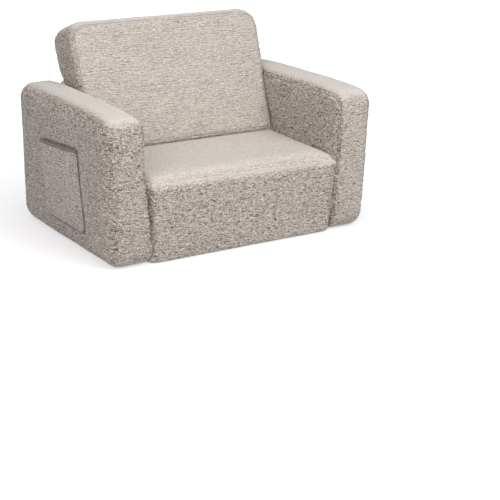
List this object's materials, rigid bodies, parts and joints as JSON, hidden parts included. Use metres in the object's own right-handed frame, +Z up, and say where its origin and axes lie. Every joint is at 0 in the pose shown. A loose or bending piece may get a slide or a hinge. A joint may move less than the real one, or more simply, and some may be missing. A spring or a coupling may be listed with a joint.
{
  "type": "kids flip open sofa",
  "caption": "Low foam sofa for a small child with boxy arms, a leaning backrest and a side pocket; the seat and backrest flip forward to lie flat in front.",
  "frame": {"origin": "on the floor, under the middle of the arms' footprint, on the underside of the seat base", "axes": "+X across the sofa towards the right arm seen from the front, +Y from front to back, +Z up"},
  "size_m": [0.7372, 0.4879, 0.4915],
  "materials": {
    "sherpa": "matte",
    "lining": "matte",
    "binding": "matte",
    "foam": "matte",
    "zip_tape": "matte",
    "slider_metal": "satin"
  },
  "bodies": {
    "frame": {"arm_left_cover": "sherpa", "arm_left_foam": "foam", "arm_left_zip": "zip_tape", "arm_right_cover": "sherpa", "arm_right_foam": "foam", "arm_right_zip": "zip_tape", "back_wall_cover": "sherpa", "back_wall_foam": "foam", "back_wall_zip": "zip_tape", "seat_base_cover": "sherpa", "seat_base_foam": "foam", "seat_base_zip": "zip_tape", "seat_hinge_cloth": "sherpa", "pocket_panel": "sherpa", "pocket_binding": "binding"},
    "seat_panel": {"seat_panel_cover": "sherpa", "seat_panel_foam": "foam", "seat_panel_zip": "zip_tape", "fold_sleeve": "lining"},
    "backrest": {"backrest_cover": "sherpa", "backrest_foam": "foam", "backrest_zip": "zip_tape"},
    "arm_left_slider": {"arm_left_zip_slider": "slider_metal"},
    "arm_right_slider": {"arm_right_zip_slider": "slider_metal"},
    "back_wall_slider": {"back_wall_zip_slider": "slider_metal"},
    "seat_base_slider": {"seat_base_zip_slider": "slider_metal"},
    "seat_panel_slider": {"seat_panel_zip_slider": "slider_metal"},
    "backrest_slider": {"backrest_zip_slider": "slider_metal"}
  },
  "joints": [
    {"name": "seat_flip", "type": "hinge", "parent": "frame", "child": "seat_panel", "pos_m": [0, -0.239, 0.1023], "axis": [1, 0, 0], "range_deg": [0, 180], "deforming": ["seat_hinge_cloth"]},
    {"name": "backrest_fold", "type": "hinge", "parent": "seat_panel", "child": "backrest", "pos_m": [0, 0.0575, 0.1519], "axis": [1, 0, 0], "range_deg": [-70, 0], "deforming": ["fold_sleeve"]},
    {"name": "arm_left_zip_slide", "type": "slide", "parent": "frame", "child": "arm_left_slider", "axis": [0, 1, 0], "range_m": [0, 0.316]},
    {"name": "arm_right_zip_slide", "type": "slide", "parent": "frame", "child": "arm_right_slider", "axis": [0, 1, 0], "range_m": [0, 0.316]},
    {"name": "back_wall_zip_slide", "type": "slide", "parent": "frame", "child": "back_wall_slider", "axis": [1, 0, 0], "range_m": [0, 0.366]},
    {"name": "seat_base_zip_slide", "type": "slide", "parent": "frame", "child": "seat_base_slider", "axis": [1, 0, 0], "range_m": [0, 0.366]},
    {"name": "seat_panel_zip_slide", "type": "slide", "parent": "seat_panel", "child": "seat_panel_slider", "axis": [1, 0, 0], "range_m": [0, 0.366]},
    {"name": "backrest_zip_slide", "type": "slide", "parent": "backrest", "child": "backrest_slider", "axis": [1, 0, 0], "range_m": [0, 0.366]}
  ],
  "couplings": [
    {"joint": "backrest_fold", "follows": "seat_flip", "ratio": -0.38889}
  ]
}
